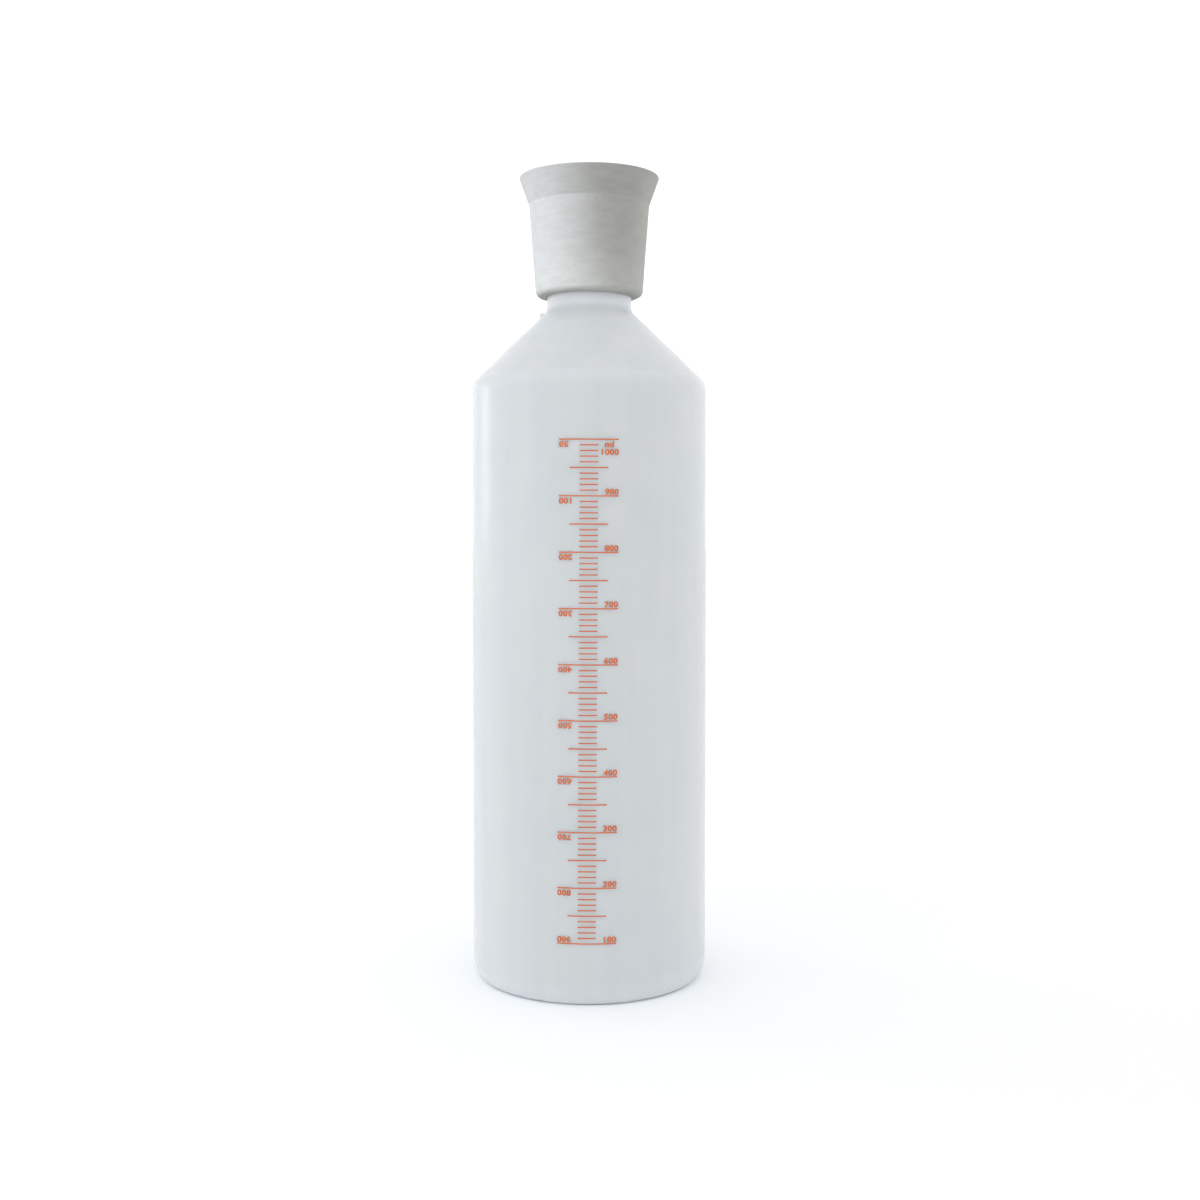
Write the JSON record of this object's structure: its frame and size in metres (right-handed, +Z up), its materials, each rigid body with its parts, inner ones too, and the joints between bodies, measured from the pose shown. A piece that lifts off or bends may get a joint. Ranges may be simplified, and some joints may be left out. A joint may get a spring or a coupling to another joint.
{
  "type": "graduated bottle",
  "caption": "Round translucent measuring bottle with a conical shoulder, a printed millilitre scale, a threaded neck and a flared rubber cone that pulls off the neck.",
  "frame": {"origin": "middle of the base, on the plane of the rest ring", "axes": "+Z up along the bottle's axis, the printed scale faces -Y, the stop lug beside the neck is at -X"},
  "size_m": [0.0844, 0.0846, 0.2876],
  "materials": {
    "bottle": "blow-moulded natural polyethylene, milky and translucent, satin",
    "rubber": "moulded grey-white rubber, dusty and slightly mottled",
    "ink": "screen-printed orange-red ink"
  },
  "bodies": {
    "bottle": {"bottle": "bottle", "scale_major_lines": "ink", "scale_half_lines": "ink", "scale_minor_lines": "ink"},
    "cone": {"rubber_cone": "rubber"}
  },
  "joints": [
    {"name": "cone_pull", "type": "slide", "parent": "bottle", "child": "cone", "axis": [0, 0, 1], "range_m": [0, 0.04]}
  ]
}
